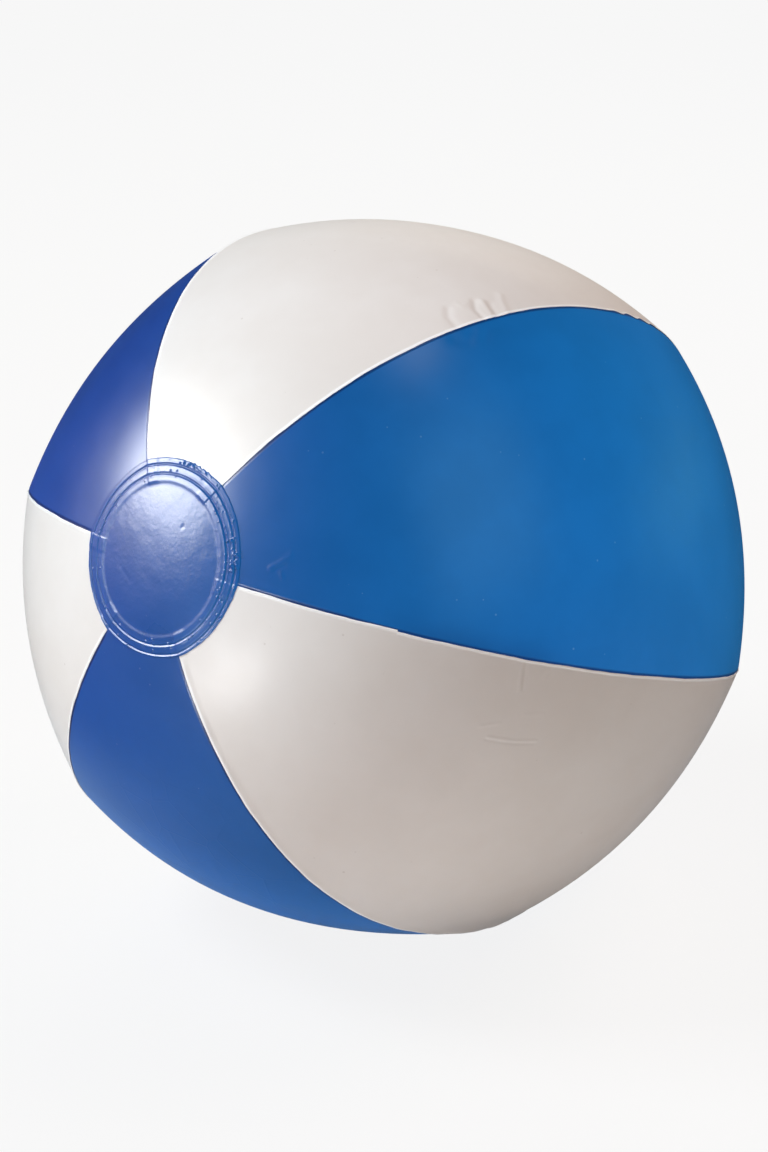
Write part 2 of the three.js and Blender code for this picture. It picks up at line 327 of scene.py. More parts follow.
def filmBump(tree, shader, parts, distance):
    height = None
    for value, share in parts:
        part = maths(tree, "MULTIPLY", value, share)
        height = part if height is None else maths(tree, "ADD", height, part)
    bump = place(tree, "ShaderNodeBump", {"Height": height, "Strength": 1.0, "Distance": distance})
    tree.links.new(bump.outputs[0], shader.inputs["Normal"])


blueLook = {
    "film": (0.011, 0.125, 0.440, 1),
    "paintedLightBelow": (0.075, 0.02),  # heights between which the blue is painted brighter towards the floor: painted light for floor bounce and light through the film
    # painted light: the blue painted near the floor
    "paintedLitBlue": (0.014, 0.210, 0.740, 1),
    "mottle": (0.95, 1.05),  # times the colour
    "overWhite": (1.35, 1.12, 1.06, 1),  # times the colour of the cap's rim, where white film shows through
    "weld": (0.30, 0.36, 0.46, 1),  # painted shadow: times the colour beside a white edge, and in the painted shade along one seam
    "wear": {"Dust Share": 0.22},
    "dust": (0.45, 0.52, 0.72, 1),
    "dustMix": 0.2,
    "roughness": {False: (0.28, 0.33), True: (0.27, 0.32)},  # panels, caps
    "bump": 0.06 * mm,
    "ripple": {False: 0.12, True: 0.5},  # shares of the bump
    "creases": {"Scale": 60.0, "Width": 0.03, "Share": 0.2},  # close ones on one panel
    "creaseShare": 0.7,
    "creasedAt": toRow(skin(0, math.radians(57), math.radians(4))),
    "creasedReach": (0.062, 0.02),
    "lumps": {"Mottle Scale": 150.0, "Ripple Scale": 900.0},  # the cap's film is lumpier than the panels'
    "lumpShares": {"Mottle": 0.75, "Ripple": 0.4},
}


def blueFilm(name, cap):
    look = blueLook
    material, tree, shader = newMaterial(name)

    def times(colour, by):
        return mixColours(tree, 1.0, colour, by, "MULTIPLY")

    where = place(tree, "ShaderNodeTexCoord").outputs["Object"]
    height = place(tree, "ShaderNodeSeparateXYZ", {0: where}).outputs["Z"]
    # painted light: below the given heights the film is painted brighter towards the floor
    colour = mixColours(tree, ramp(tree, height, *look["paintedLightBelow"]), look["film"], look["paintedLitBlue"])
    wear = groupWith(tree, vinylWear, look["wear"])
    colour = times(colour, ramp(tree, wear.outputs["Mottle"], 0, 1, *look["mottle"], False))
    # on panels this darkens the blue: painted shadow beside the white edges and painted shade along one
    # seam; on caps it is white film showing through the rim
    rim = "overWhite" if cap else "weld"  # the name of a mask and a colour
    colour = mixColours(tree, mask(tree, rim), colour, times(colour, look[rim]))
    colour = dusted(tree, colour, wear, look["dust"], look["dustMix"])
    colourAndGloss(tree, shader, colour, wear, look["roughness"][cap])
    parts = [(wear.outputs["Ripple"], look["ripple"][cap])]
    if cap:
        lumps = groupWith(tree, vinylWear, look["lumps"])
        parts += [(lumps.outputs[label], share) for label, share in look["lumpShares"].items()]
    else:
        away = vectorMaths(tree, "DISTANCE", where, look["creasedAt"])
        creases = groupWith(tree, foldLines, look["creases"]).outputs["Lines"]
        creases = maths(tree, "MULTIPLY", creases, ramp(tree, away, *look["creasedReach"]))
        parts.append((creases, look["creaseShare"]))
    filmBump(tree, shader, parts, look["bump"])
    return material


whiteLook = {
    "clean": (0.83, 0.81, 0.785, 1),
    "grubby": (0.78, 0.75, 0.715, 1),
    # pale line along the cut edge: partly the heat-sealed edge's paler film, partly a painted highlight on
    # the weld's ridge
    "weld": (0.97, 0.98, 0.985, 1),
    "wear": {"Dust Share": 0.2, "Dust Spacing": 170.0, "Mottle Scale": 14.0},
    "dust": (0.50, 0.45, 0.40, 1),
    "dustMix": 0.35,
    "roughness": (0.30, 0.40),
    "folds": {"Scale": 11.0},
    "bump": 0.06 * mm,
    "bumpShares": (0.3, 0.3),  # ripple, folds
}


def whiteFilm(name):
    look = whiteLook
    material, tree, shader = newMaterial(name)
    wear = groupWith(tree, vinylWear, look["wear"])
    folds = groupWith(tree, foldLines, look["folds"]).outputs["Lines"]
    colour = mixColours(tree, wear.outputs["Mottle"], look["clean"], look["grubby"])
    colour = dusted(tree, colour, wear, look["dust"], look["dustMix"])
    # the pale line along the cut edge, partly a painted highlight
    colour = mixColours(tree, mask(tree, "weld"), colour, look["weld"])
    colourAndGloss(tree, shader, colour, wear, look["roughness"])
    filmBump(tree, shader, list(zip((wear.outputs["Ripple"], folds), look["bumpShares"])), look["bump"])
    return material


vinylLook = {
    "milky": (0.74, 0.78, 0.80, 1),
    "cloudy": (0.66, 0.70, 0.73, 1),
    "wear": {"Dust Share": 0.2, "Dust Spacing": 500.0, "Mottle Scale": 160.0},
    "dustMix": 0.4,
    "roughness": (0.24, 0.34),
    "bump": {"Strength": 0.4, "Distance": 0.05 * mm},
    "depth": {"Subsurface Weight": 0.25, "Subsurface Radius": (1.0, 1.0, 1.0), "Subsurface Scale": 1.5 * mm},
}


def clearVinyl(name):
    look = vinylLook
    material, tree, shader = newMaterial(name)
    wear = groupWith(tree, vinylWear, look["wear"])
    colour = mixColours(tree, wear.outputs["Mottle"], look["milky"], look["cloudy"])
    colour = dusted(tree, colour, wear, whiteLook["dust"], look["dustMix"])
    colourAndGloss(tree, shader, colour, wear, look["roughness"])
    for socket, value in look["depth"].items():
        shader.inputs[socket].default_value = value
    bump = place(tree, "ShaderNodeBump", {"Height": wear.outputs["Ripple"], **look["bump"]})
    tree.links.new(bump.outputs[0], shader.inputs["Normal"])
    return material


panelBlue = blueFilm("blue_film_look", False)
capBlue = blueFilm("blue_cap_look", True)
panelWhite = whiteFilm("white_film_look")
valveVinyl = clearVinyl("clear_vinyl_look")
print("materials:", len(bpy.data.materials))


# panels; a polar angle in degrees is the way from the front cap
panelCut = {
    "rows": 200,
    "closeRows": {  # by panel: polar degrees and count, where small forms need more points
        1: [(39.0, 40.2, 13), (58.0, 70.5, 60)],
        2: [(17.5, 23.0, 30), (55.0, 71.0, 56)],
        3: [(55.0, 71.0, 56), (88.0, 109.0, 60)],
    },
    "columns": 23,  # even ones between the two edge strips
    "closeColumns": {1: (0.58, 1.0, 43)},  # by panel: shares of the half width, and count
    "strip": 13 * mm,
    "stripRuns": np.arange(2.6, 12.9, 0.75),  # mm in from the seam
    "evenRun": 2 * mm,  # farther in, the strip narrows where the panel does
    "narrowRadius": 40 * mm,
    "seamRun": 125 * mm,  # along the seam for each radian, near enough
    "holeRadius": 26.7 * mm,
    "capEdge": (34.4 * mm, 3 * mm),  # radius where the weld comes out from under a cap, and its fade
    "restLift": 0.02 * mm,
}

whiteEdge = {
    "runs": [0, 0.05, 0.12, 0.2, 0.3, 0.42, 0.56, 0.75, 1.0, 1.4, 1.9],  # mm in from the cut edge
    "pressed": (0.08 * mm, 1.2 * mm),  # thickness in the weld, and where it is whole again
    "bead": (0.2, 0.4, 0.32, 0.32, 0.2),  # the weld's ridge: height, place, two widths, a groove's share
    "seamBead": {0: (0.42, 0.6, 0.48, 1.7, 0.0), 2: (0.08, 0.4, 0.32, 0.32, 0.2)},  # seams with their own
    "groove": (1.0, 0.5),  # mm past the ridge, and width
    "beadSwell": (9, 17 * mm, 0.35),  # seed, pitch and share
    "weldLine": (0.75 * mm, 0.3 * mm),  # how far in the pale line reaches, and its fade; partly the sealed edge's paler film, partly a painted highlight
    "waves": [(1, 38 * mm, 0.16 * mm), (4, 9 * mm, 0.05 * mm)],  # of the cut: seed, pitch and height
    "waveReach": 3 * mm,
    "ruffle": {"seam": 2, "polar": (89.0, 108.0), "fade": 5, "pitch": 8.3 * mm, "height": 0.75 * mm},
    "tick": {"panel": 1, "side": 1, "polar": 39.6, "rise": 0.5 * mm, "fade": 8.0},  # a step in the cut
}

blueEdge = {
    "runs": [0, 0.2, 0.4, 0.55, 0.7, 0.85, 1.0, 1.2, 1.5, 1.9],  # mm in from the seam
    "lap": [5.0, 2.0, 1.2, 0.7, 0.3],  # mm on under the white edge
    "jog": (1.15 * mm, 0.75 * mm),  # where it starts to go under, and in what length
    # painted shadow: how far the darker band beside a white edge reaches, and its fade
    "weldLine": (1.2 * mm, 0.7 * mm),
    "seamShade": {"seam": 1, "polar": (34.0, 74.0), "fade": 14, "reach": 5.5 * mm, "share": 0.36},  # painted shade: a soft darker band beside one seam
}

# small tucks and dents: polar and turn round the ball along each, in degrees; width and height in mm
tucks = [
    ([(60.2, 155.0), (58.9, 153.2), (58.7, 150.9)], 1.4, -0.36),
    ([(62.3, 155.4), (62.5, 154.3), (63.3, 154.5)], 0.9, 0.22),
    ([(65.3, 154.8), (64.0, 152.8), (63.9, 150.8)], 1.1, -0.42),
    ([(66.4, 154.2), (65.9, 152.6), (65.5, 150.8)], 1.0, 0.28),
    ([(67.3, 153.2), (66.8, 151.9), (66.5, 150.7)], 1.2, -0.30),
    ([(70.5, 154.6), (69.4, 152.9), (68.5, 150.6)], 1.4, 0.26),
    ([(63.5, 160.4), (63.6, 160.3)], 1.3, -0.12),
    ([(57.0, 148.3), (59.0, 147.2), (60.5, 148.6)], 2.2, -0.22),
    ([(62.0, 146.6), (63.0, 147.8)], 2.0, -0.18),
    ([(65.0, 148.2), (66.5, 147.4)], 2.0, -0.16),
    ([(61.1, 74.9), (65.6, 75.5), (69.6, 76.5)], 0.52, 0.17),
    ([(61.1, 74.4), (65.6, 75.0), (69.6, 76.0)], 0.55, -0.13),
    ([(58.9, 76.4), (61.8, 78.0)], 0.55, 0.13),
    ([(65.2, 80.5), (68.4, 81.4)], 0.55, 0.12),
    ([(60.9, 89.2), (61.5, 87.2), (62.3, 84.6)], 0.60, 0.26),
    ([(61.6, 89.0), (62.2, 87.2), (62.9, 85.0)], 0.65, -0.24),
    ([(66.2, 89.2), (65.6, 87.5)], 0.60, 0.20),
    ([(18.5, 101.5), (20.2, 103.9), (21.9, 106.6)], 0.75, 0.24),
    ([(19.3, 101.2), (20.8, 103.2)], 0.80, -0.14),
    ([(20.6, 98.2), (20.3, 99.6)], 0.70, 0.14),
]


def tuckLift(polar, turn):
    lift = np.zeros(polar.shape)
    for spots, width, height in tucks:
        spots = np.radians(spots)
        middle = spots.mean(axis=0)
        sideways = ballForm["seamRadius"] * math.sin(middle[0]) ** meridian
        scale = np.array([ballForm["poleHeight"], sideways]) / mm  # mm for each radian
        here = np.stack([polar - middle[0], wrapped(turn - middle[1])], axis=-1) * scale
        path = (spots - middle) * scale
        away = np.min([lineAway(here, a, b) for a, b in zip(path[:-1], path[1:])], axis=0)
        lift = lift + height * mm * hill(away, width)
    return lift


def panelRows(panel):
    cut = panelCut
    start = polarAt(cut["holeRadius"])
    polar = np.linspace(start, math.pi - start, cut["rows"])
    for low, high, count in cut["closeRows"].get(panel, []):
        close = np.radians(np.linspace(low, high, count))
        polar = np.sort(np.concatenate([polar[(polar < close[0]) | (polar > close[-1])], close]))
    radius = ballForm["seamRadius"] * np.sin(polar) ** meridian
    return {
        "polar": polar,
        "radius": radius,
        "run": (polar - start) * cut["seamRun"],
        "shown": eased(radius, *cut["capEdge"]),  # 0 under the caps
        "narrow": np.clip(radius / cut["narrowRadius"], 0, 1) ** 2,
    }


def seamStretch(rows, limits, fade):  # 1 between two polar degrees, faded at both ends
    polar = np.degrees(rows["polar"])
    return smooth((polar - limits[0]) / fade) * smooth((limits[1] - polar) / fade)


def stripInward(runs, rows):
    even = panelCut["evenRun"]
    return np.where(runs > even, even + (runs - even) * rows["narrow"][:, None], runs)


def pressedAt(run):
    thin, back = whiteEdge["pressed"]
    return thin + (film["thick"] - thin) * smooth(run / back)


# an edge strip: angle, lift, thickness and the mask of its points (the pale weld line, partly a painted
# highlight, on white film; painted shadow and shade on blue), and the panel that each column lies on
def whiteStrip(panel, side, seam, rows):
    edge, ruffle, tick = whiteEdge, whiteEdge["ruffle"], whiteEdge["tick"]
    run, shown = rows["run"], rows["shown"]
    runs = np.concatenate([edge["runs"], panelCut["stripRuns"]]) * mm
    wave = sum(wobble(run, seam + seed, pitch) * height for seed, pitch, height in edge["waves"])
    if seam == ruffle["seam"]:
        ruffled = seamStretch(rows, ruffle["polar"], ruffle["fade"])
        wave = wave + ruffled * ruffle["height"] * np.sin(fullTurn * run / ruffle["pitch"])
    if (panel, side) == (tick["panel"], tick["side"]):
        before = math.radians(tick["polar"]) - rows["polar"]
        fading = np.exp(-np.clip(before, 0, None) / math.radians(tick["fade"]))
        wave = wave - tick["rise"] * (before > 0) * fading
    inward = stripInward(runs, rows) + (wave * shown)[:, None] * (1 - smooth(runs / edge["waveReach"]))
    angle = side * (halfPanel - inward / rows["radius"][:, None])

    high, crest, rise, fall, grooveShare = edge["seamBead"].get(seam, edge["bead"])
    grooveAt, grooveWidth = edge["groove"]
    past = runs / mm - crest
    ridge = hill(past, np.where(past < 0, rise, fall)) - grooveShare * hill(past - grooveAt, grooveWidth)
    seed, pitch, share = edge["beadSwell"]
    swell = 1 + share * wobble(run, seam + seed, pitch)
    lift = (high * mm * swell * shown)[:, None] * ridge
    # the pale line along the cut edge, partly a painted highlight
    weldEnd, weldFade = edge["weldLine"]
    weld = shown[:, None] * hill(np.clip(runs - weldEnd, 0, None), weldFade)
    return angle, lift, pressedAt(runs) + lift, weld, np.full(len(runs), panel)


def blueStrip(panel, side, seam, rows):
    edge, seamShade = blueEdge, blueEdge["seamShade"]
    runs = np.concatenate([-np.array(edge["lap"]), edge["runs"], panelCut["stripRuns"]]) * mm
    angle = side * (halfPanel - stripInward(runs, rows) / rows["radius"][:, None])
    jogFrom, jogLength = edge["jog"]
    jog = smooth((jogFrom - runs) / jogLength)
    dip = np.where(runs < 0, pressedAt(-runs), whiteEdge["pressed"][0] * jog) + film["gap"] * jog
    lift = np.broadcast_to(-dip, angle.shape)
    # painted shadow: the blue is darkened beside the white film's edge
    weldEnd, weldFade = edge["weldLine"]
    weld = smooth((weldEnd - runs) / weldFade) * rows["shown"][:, None]
    # painted shade: a soft darker band along one seam, in the same mask
    if seam == seamShade["seam"]:
        shadedBand = seamShade["share"] * seamStretch(rows, seamShade["polar"], seamShade["fade"])
        weld = np.maximum(weld, shadedBand[:, None] * hill(runs, seamShade["reach"]))
    owner = np.where(runs < 0, (panel + side) % panelCount, panel)
    return angle, lift, np.full(angle.shape, film["thick"]), weld, owner


def panelPiece(panel):
    white = panel % 2 == 1
    cut = panelCut
    rows = panelRows(panel)
    polar = rows["polar"]
    shares = np.linspace(-1, 1, cut["columns"])
    if panel in cut["closeColumns"]:
        low, high, count = cut["closeColumns"][panel]
        shares = np.concatenate([shares[shares < low], np.linspace(low, high, count), shares[shares > high]])
    angle = shares * (halfPanel - cut["strip"] / rows["radius"] * rows["narrow"])[:, None]
    plain = np.zeros_like(angle)
    middle = (angle, plain, plain + film["thick"], plain, np.full(len(shares), panel))
    strip = whiteStrip if white else blueStrip
    left = strip(panel, -1, (panel - 1) % panelCount, rows)
    right = strip(panel, 1, panel, rows)
    joined = [np.concatenate([a, b, c[..., ::-1]], axis=-1) for a, b, c in zip(left, middle, right)]
    angle, lift, thick, weld, owner = joined

    outer = np.zeros(angle.shape + (3,))
    inner = np.zeros_like(outer)
    for k in np.unique(owner):
        columns = owner == k
        half = panelCount // 2
        local = angle[:, columns] - ((k - panel + half) % panelCount - half) * panelTurn
        polars = np.broadcast_to(polar[:, None], local.shape)
        top = lift[:, columns] + tuckLift(polars, local + k * panelTurn)
        outer[:, columns] = lifted(k, polars, local, top)
        inner[:, columns] = lifted(k, polars, local, top - thick[:, columns])
    outer, inner = toRow(outer), toRow(inner)
    outer[..., 2] = np.maximum(outer[..., 2], cut["restLift"])
    inner[..., 2] = np.maximum(inner[..., 2], cut["restLift"] + film["thick"])
    name = ("white" if white else "blue") + "_panel_" + str(panel // 2 + 1)
    piece = closedFilm(name + "_film", outer, inner, panelWhite if white else panelBlue)
    # the mask: the pale weld line, partly a painted highlight, on white film; painted shadow and shade on
    # blue
    pointMask(piece, "weld", weld)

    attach(piece, "ball")
    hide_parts(name)
    return piece


panelPieces = [panelPiece(panel) for panel in range(panelCount)]
print("panels:", len(panelPieces))


# end caps; a pair is for the front and the rear, and x runs down the disc and y across it
capCut = {
    "radius": 34.0 * mm,
    "rings": [*np.arange(0.6, 25.3, 0.6), *np.arange(25.5, 33.5, 0.2), 33.5, 33.7, 33.85, 33.95, 34.0],
    "underRings": [*np.arange(2.5, 24, 2.5), 25.5, 26.2, 26.9, 28, 30, 32, 33.4, 34.0],  # both in mm
    "columns": (840, 420),
    "shift": (-0.4 * mm, 0),  # the front disc sits a little above the panels' middle
    "shiftFrom": (25 * mm, 9 * mm),  # radius where this starts, and its run
    "ringShift": (0.25 * mm, 0),  # and its weld rings a little below
    "grooves": (28.9 * mm, 32.2 * mm),
    "grooveDepth": 0.24 * mm,
    "grooveWidth": 0.36 * mm,
    "shoulder": 0.05 * mm,
    "lapRadius": 26.8 * mm,
    "stepWidth": 2.0 * mm,
    "underGap": 0.02 * mm,
    "bulge": (0.35 * mm, 0.25 * mm),
    "edgeFrom": (32.6 * mm, 1.4 * mm),  # radius where the cut edge's waver starts, and its run
    "edgeWaves": (5, 31, 0.6),  # slow and quick ones round the rim, and the quick ones' share
    "edgeWave": 0.14 * mm,
    "ragged": {"turn": 168, "reach": 0.16, "waves": 90, "height": 0.35 * mm},  # a rough stretch of the cut
    "edgeDrop": (33.6 * mm, 0.4 * mm, 0.08 * mm),  # radius, run and depth
    "seamStep": 0.11 * mm,  # the double layer beside each seam, through the rim
    "doubled": ((-0.25 * mm, 0.5 * mm), (4 * mm, 1.6 * mm)),  # where it starts and ends, and the run of each
    "valveBore": 8.2 * mm,
    "boreGap": 0.2 * mm,  # from the bore to the next ring, at least
    "bubbleHeight": (0.75, 0.3),  # share of their size; the rear weld is cleaner
    "bubbleRound": 1.5,
    "bubbles": [  # air trapped in the weld: count, radii in mm, degrees round the rim, size in mm
        (22, (30.6, 33.4), (97, 118), (0.44, 0.70)),
        (26, (27.5, 33.4), (55, 150), (0.30, 0.50)),
        (18, (32.6, 33.7), (150, 185), (0.34, 0.52)),
        (60, (27.2, 33.5), (0, 360), (0.26, 0.45)),
    ],
    "dents": [  # on the front disc: down, across, size and depth in mm
        (-12.7, 7.2, 0.7, 0.12),
        (-11.6, 8.0, 1.0, -0.05),
        (-10.0, 9.6, 1.6, -0.05),
        (6.0, -4.0, 1.0, 0.03),
    ],
    "scratch": ((6.9, -15.5), (10.7, -9.3), 0.45, -0.05),  # on it too: from, to, width and height in mm
}


def onLapAt(reach):  # 1 where the cap lies on the panels' ends
    return smooth((reach - capCut["lapRadius"] + capCut["stepWidth"]) / capCut["stepWidth"])


def bulgeAt(reach, rear):
    return capCut["bulge"][rear] * np.clip(1 - (reach / capCut["lapRadius"]) ** 2, 0, 1)


def capRelief(x, y, turn, rear):
    cut = capCut
    ring = np.hypot(x - cut["ringShift"][rear], y)
    reach = np.hypot(x, y)
    onLap = onLapAt(ring)
    lift = (film["thick"] + film["gap"]) * onLap + bulgeAt(ring, rear)
    wide = cut["grooveWidth"]
    for radius in cut["grooves"]:
        lift = lift - cut["grooveDepth"] * hill(ring - radius, wide)
        for side in (-1, 1):
            lift = lift + cut["shoulder"] * hill(ring - radius + side * 2 * wide, wide)
    double = np.zeros_like(lift)
    start, end = cut["doubled"]
    for seam in range(panelCount):
        away = wrapped(turn - (2 * seam + 1) * halfPanel)
        run = away * reach * (1 if seam % 2 == 0 else -1)  # white film lies after seams 0, 2 and 4
        layer = eased(run, *start) - eased(run, *end)
        double = np.maximum(double, np.where(np.abs(away) < panelTurn, layer, 0))
    lift = lift + cut["seamStep"] * double * onLap
    for count, radii, turns, sizes in cut["bubbles"]:
        for _ in range(count):
            size, far = rng.uniform(*sizes) * mm, rng.uniform(*radii) * mm
            spot = math.radians(rng.uniform(*turns))
            off = np.hypot(x - far * math.cos(spot), y - far * math.sin(spot))
            dome = np.clip(1 - (off / size) ** 2, 0, 1) ** cut["bubbleRound"]
            lift = lift + cut["bubbleHeight"][rear] * size * dome
    return lift, onLap


def capMarks(x, y):  # dents and a scratch
    lift = np.zeros_like(x)
    for down, across, size, depth in capCut["dents"]:
        lift = lift - depth * mm * hill(np.hypot(x - down * mm, y - across * mm), size * mm)
    start, end, width, height = capCut["scratch"]
    away = lineAway(np.stack([x, y], axis=-1) / mm, np.array(start), np.array(end))
    return lift + height * mm * hill(away, width)


# points of the cap's upper or under layer, and its mask of where white film lies under the rim
def capLayer(radii, azimuth, waver, rear, under):
    cut = capCut
    reach = radii[:, None] + waver * eased(radii, *cut["edgeFrom"])[:, None]
    x = reach * np.cos(azimuth) + cut["shift"][rear] * eased(radii, *cut["shiftFrom"])[:, None]
    y = reach * np.sin(azimuth)
    far = np.hypot(x, y)
    turn = np.arctan2(y, x)
    if under:
        onLap = onLapAt(far)
        lift = (bulgeAt(far, rear) - film["thick"]) * (1 - onLap) + cut["underGap"] * onLap
    else:
        lift, onLap = capRelief(x, y, turn, rear)
        dropFrom, dropRun, drop = cut["edgeDrop"]
        lift = lift - drop * eased(radii, dropFrom, dropRun)[:, None]
        if not rear:
            lift = lift + capMarks(x, y)
    panel = np.round(turn / panelTurn).astype(int) % panelCount
    polar = polarAt(far)
    polar = math.pi - polar if rear else polar
    points = np.zeros(x.shape + (3,))
    for k in range(panelCount):
        mine = panel == k
        points[mine] = lifted(k, polar[mine], wrapped(turn[mine] - k * panelTurn), lift[mine])
    return toRow(points), (panel % 2 == 1) * onLap


# a disc of film from two layers of rings, either closed at the middle or cut out round a bore
def discFilm(name, outer, inner, material, bored):
    columns = outer.shape[1]
    over = np.arange(outer.shape[0] * columns).reshape(-1, columns)
    under = np.arange(inner.shape[0] * columns).reshape(-1, columns) + over.size
    faces = gridFaces(over, True).tolist() + gridFaces(under, True)[:, ::-1].tolist()
    walls = [(over[-1], under[-1], True)]
    if bored:
        walls.append((over[0], under[0], False))
    for a, b, flip in walls:
        wall = np.stack([a, np.roll(a, -1), np.roll(b, -1), b], axis=-1)
        faces += (wall[:, ::-1] if flip else wall).tolist()
    points = [outer.reshape(-1, 3), inner.reshape(-1, 3)]
    if bored:
        faces = [face[::-1] for face in faces]  # the rear disc is seen from its other side
    else:
        middle = over.size + under.size
        points.append([outer[0].mean(axis=0), inner[0].mean(axis=0)])
        faces += np.stack([np.full(columns, middle), over[0], np.roll(over[0], -1)], axis=-1).tolist()
        faces += np.stack([np.full(columns, middle + 1), np.roll(under[0], -1), under[0]], axis=-1).tolist()
    return newPiece(name, np.concatenate(points), faces, material, film["sharp"])


def capPiece(rear):
    cut = capCut
    layers = [np.array(cut[layer]) * mm for layer in ("rings", "underRings")]
    if rear:
        bore = cut["valveBore"]
        layers = [np.concatenate([[bore], radii[radii > bore + cut["boreGap"]]]) for radii in layers]
    azimuth = np.linspace(0, fullTurn, cut["columns"][rear], endpoint=False)
    slow, quick, share = cut["edgeWaves"]
    waver = wobble(azimuth, 3 + rear, fullTurn / slow) + share * wobble(azimuth, 8, fullTurn / quick)
    rough = cut["ragged"]
    ragged = wobble(azimuth, 5, fullTurn / rough["waves"])
    ragged = ragged * hill(azimuth - math.radians(rough["turn"]), rough["reach"])
    waver = waver * cut["edgeWave"] + ragged * rough["height"]
    outer, overWhite = capLayer(layers[0], azimuth, waver, rear, False)
    inner, _ = capLayer(layers[1], azimuth, waver, rear, True)
    name = "rear_cap" if rear else "front_cap"
    piece = discFilm(name + "_film", outer, inner, capBlue, rear)
    pointMask(piece, "overWhite", overWhite)
    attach(piece, "ball")
    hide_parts(name)
    return piece


frontCap = capPiece(False)
rearCap = capPiece(True)
print("caps:", len(frontCap.data.vertices), "and", len(rearCap.data.vertices), "points")


# air valve in the rear cap: x down, y across, height outward from the cap's pole, all in mm
valveForm = {"segments": 96, "cornerSteps": 4, "cornerShare": 0.4, "sharp": 40}
valveRoot = toRow(np.array([0, 0, -ballForm["poleHeight"]]))
valveAxes = np.array([downAxis, -sideAxis, -frontAxis]) * mm


def atValve(points):
    return valveRoot + np.asarray(points, float) @ valveAxes


# mesh through a row of rings with the same count of points; open rows get flat ends
def ringMesh(rings, closed):
    rings = np.asarray(rings)
    rows, columns = rings.shape[:2]
    index = np.arange(rows * columns).reshape(rows, columns)
    if closed:
        faces = gridFaces(np.vstack([index, index[:1]]), True).tolist()
    else:
        faces = gridFaces(index, True).tolist() + [index[0].tolist(), index[-1][::-1].tolist()]
    points = rings.reshape(-1, 3)
    inside = points.mean(axis=0)
    volume = 0
    for face in faces:
        fan = points[face] - inside
        volume += np.einsum("ij,ij->", np.cross(fan[1:-1], fan[2:]), np.broadcast_to(fan[0], fan[2:].shape))
    return points, [face[::-1] for face in faces] if volume < 0 else faces


def roundCorners(corners, size, closed):
    corners = np.asarray(corners, float)
    count = len(corners)
    path = []
    for i, corner in enumerate(corners):
        if not closed and i in (0, count - 1):
            path.append(corner)
            continue
        ways = [corners[i - 1] - corner, corners[(i + 1) % count] - corner]
        lengths = np.linalg.norm(ways, axis=1)
        most = valveForm["cornerShare"] * lengths  # a corner leaves the rest of a short side
        cuts = [way / length * min(size, limit) for way, length, limit in zip(ways, lengths, most)]
        for t in np.linspace(0, 1, valveForm["cornerSteps"] + 1):
            path.append(corner + cuts[0] * (1 - t) ** 2 + cuts[1] * t ** 2)
    return np.array(path)


def turned(profile):  # profile of radius and height
    around = np.linspace(0, fullTurn, valveForm["segments"], endpoint=False)
    circle = np.stack([np.cos(around), np.sin(around)], axis=-1)
    return [np.column_stack([circle * radius, np.full(len(around), height)]) for radius, height in profile]


def slab(outline, low, high, bevel):
    outline = np.array(outline)
    middle = outline.mean(axis=0)
    small = middle + (outline - middle) * (1 - bevel / np.linalg.norm(outline - middle, axis=1).max())
    levels = [(small, low), (outline, low + bevel), (outline, high - bevel), (small, high)]
    return [np.column_stack([shape, np.full(len(shape), height)]) for shape, height in levels]


def valvePiece(name, node, shells):
    points, faces, count = [], [], 0
    for rings, closed in shells:
        shell, shellFaces = ringMesh(rings, closed)
        points.append(shell)
        faces += [[i + count for i in face] for face in shellFaces]
        count += len(shell)
    piece = newPiece(name, atValve(np.concatenate(points)), faces, valveVinyl, valveForm["sharp"])
    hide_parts(node)
    return piece


def domeDrop(radius):  # of the ball's skin below its pole
    power = ballForm["meridianPower"]
    share = 1 - (radius * mm / ballForm["seamRadius"]) ** power
    return ballForm["poleHeight"] / mm * (1 - share ** (1 / power))


baseCut = {
    "bore": 8.2,
    "radius": 13.0,
    "rows": 33,
    "above": 0.3,
    "thick": (0.9, 0.4),  # at the bore and the rim
    "edgeDrop": (0.1, 0.15),
    "press": (10.8, 0.6, 0.15),  # weld ring: radius, width and depth
}


def basePiece():
    cut = baseCut
    radii = np.linspace(cut["bore"], cut["radius"], cut["rows"])
    under = cut["above"] - domeDrop(radii)
    thick = np.interp(radii, [cut["bore"], cut["radius"]], cut["thick"])
    at, width, depth = cut["press"]
    over = under + thick - depth * hill(radii - at, width)
    over[[0, -1]] -= cut["edgeDrop"]
    loop = np.concatenate([np.column_stack([radii, under]), np.column_stack([radii, over])[::-1]])
    piece = valvePiece("valve_base_moulding", "valve_base", [(turned(loop), True)])
    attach(piece, "ball")


webCut = {"top": (7.4, 7.9, 1.2), "lip": 0.5, "foot": (5.5, 6.0, -9.2), "rows": 18}  # two radii and a height


def webPiece():
    inTop, outTop, top = webCut["top"]
    inFoot, outFoot, foot = webCut["foot"]
    lip = top - webCut["lip"]
    t = np.linspace(0, 1, webCut["rows"])
    outer = [(outTop, top)] + [(outTop + (outFoot - outTop) * k, lip + (foot - lip) * k) for k in t]
    inner = [(inFoot + (inTop - inFoot) * k, foot + (top - foot) * k) for k in t]
    piece = valvePiece("valve_web_funnel", "valve_web", [(turned(outer + inner), True)])
    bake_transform(piece)


stemCut = {
    "foot": [(2.9, -10.5), (6, -10.5), (6, -9.5), (4.6, -9.5)],  # radius and height
    "bead": [(4.6, 1.4), (5.2, 1.7), (5.2, 2.3), (4.9, 2.6), (2.9, 2.6)],
    "round": 0.3,
}


def stemPiece():
    loop = roundCorners(stemCut["foot"] + stemCut["bead"], stemCut["round"], True)
    piece = valvePiece("valve_stem_tube", "valve_stem", [(turned(loop), True)])
    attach(piece, "stem")


